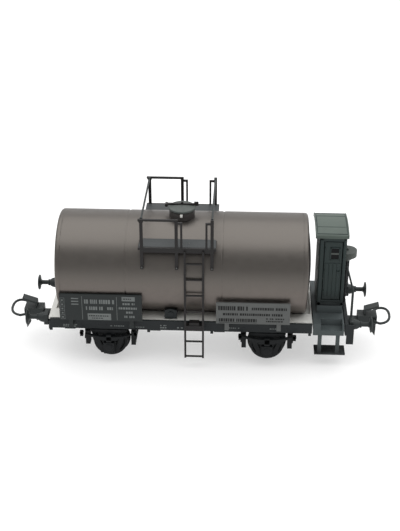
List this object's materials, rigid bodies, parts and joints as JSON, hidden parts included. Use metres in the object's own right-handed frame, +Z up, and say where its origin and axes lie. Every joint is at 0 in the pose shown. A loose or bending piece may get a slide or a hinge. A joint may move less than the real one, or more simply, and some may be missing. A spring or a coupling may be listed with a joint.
{
  "type": "model tank wagon",
  "caption": "Model tank wagon with a brakeman's cab, filler dome, walkways, ladders, sign boards, buffers and hoop couplers.",
  "frame": {"origin": "on the ground under the middle of the wagon, at the height of the wheel flanges' lowest points", "axes": "+X along the wagon towards the end with the brakeman's cab, +Y to the far side, +Z up"},
  "size_m": [0.1098, 0.0296, 0.0461],
  "materials": {
    "tank_grey": "satin metallic paint",
    "walkway_grey": "matt",
    "frame_slate": "matt",
    "sign_light": "satin",
    "gear_black": "matt",
    "steel": "plain",
    "cab_green": "satin",
    "roof_green": "satin",
    "housing_grey": "matt",
    "ballast": "rough"
  },
  "bodies": {
    "wagon": {"axle_guard_left_far": "gear_black", "axle_guard_left_near": "gear_black", "axle_guard_right_far": "gear_black", "axle_guard_right_near": "gear_black", "ballast_weight": "ballast", "base_plate": "tank_grey", "brake_beam_left_inner": "gear_black", "brake_beam_left_outer": "gear_black", "brake_beam_right_inner": "gear_black", "brake_beam_right_outer": "gear_black", "brake_spindle": "gear_black", "buffer_left_far": "gear_black", "buffer_left_near": "gear_black", "buffer_right_far": "gear_black", "buffer_right_near": "gear_black", "cab_body": "cab_green", "cab_door_far": "cab_green", "cab_door_near": "cab_green", "cab_platform": "frame_slate", "cab_roof": "roof_green", "centring_spring_left": "steel", "centring_spring_right": "steel", "coupler_pivot_left": "steel", "coupler_pivot_right": "steel", "crank_housing": "housing_grey", "crossbar_left": "walkway_grey", "crossbar_right": "walkway_grey", "dome_lid": "walkway_grey", "dome_neck": "walkway_grey", "frame_screw_left": "steel", "frame_screw_right": "steel", "handrail_far": "frame_slate", "handrail_near": "frame_slate", "ladder_far": "walkway_grey", "ladder_near": "walkway_grey", "leaf_spring_left_far": "gear_black", "leaf_spring_left_near": "gear_black", "leaf_spring_right_far": "gear_black", "leaf_spring_right_near": "gear_black", "outlet_valve": "walkway_grey", "sign_board_left_far": "frame_slate", "sign_board_left_near": "frame_slate", "sign_board_right_far": "sign_light", "sign_board_right_near": "sign_light", "tank_barrel": "tank_grey", "tank_end_left": "tank_grey", "tank_end_right": "tank_grey", "underframe": "frame_slate", "walkway_far": "walkway_grey", "walkway_near": "walkway_grey"},
    "wheelset_left": {"axle_left": "steel", "wheel_left_near": "gear_black", "wheel_left_far": "gear_black"},
    "wheelset_right": {"axle_right": "steel", "wheel_right_near": "gear_black", "wheel_right_far": "gear_black"},
    "coupler_left": {"drawbar_left": "gear_black"},
    "coupler_right": {"drawbar_right": "gear_black"},
    "hoop_left": {"coupler_hoop_left": "gear_black"},
    "hoop_right": {"coupler_hoop_right": "gear_black"}
  },
  "joints": [
    {"name": "wheelset_left_spin", "type": "hinge", "parent": "wagon", "child": "wheelset_left", "pos_m": [-0.025, 0, 0.0055], "axis": [0, 1, 0], "continuous": true},
    {"name": "wheelset_right_spin", "type": "hinge", "parent": "wagon", "child": "wheelset_right", "pos_m": [0.0194, 0, 0.0055], "axis": [0, 1, 0], "continuous": true},
    {"name": "coupler_left_swing", "type": "hinge", "parent": "wagon", "child": "coupler_left", "pos_m": [-0.036, 0, 0.0087], "axis": [0, 0, 1], "range_deg": [-14, 14], "stiffness_Nm_per_rad": 0.002},
    {"name": "coupler_right_swing", "type": "hinge", "parent": "wagon", "child": "coupler_right", "pos_m": [0.036, 0, 0.0087], "axis": [0, 0, 1], "range_deg": [-14, 14], "stiffness_Nm_per_rad": 0.002},
    {"name": "hoop_left_lift", "type": "hinge", "parent": "coupler_left", "child": "hoop_left", "pos_m": [-0.05, 0, 0.0096], "axis": [0, 1, 0], "range_deg": [0, 45]},
    {"name": "hoop_right_lift", "type": "hinge", "parent": "coupler_right", "child": "hoop_right", "pos_m": [0.05, 0, 0.0096], "axis": [0, -1, 0], "range_deg": [0, 45]}
  ]
}
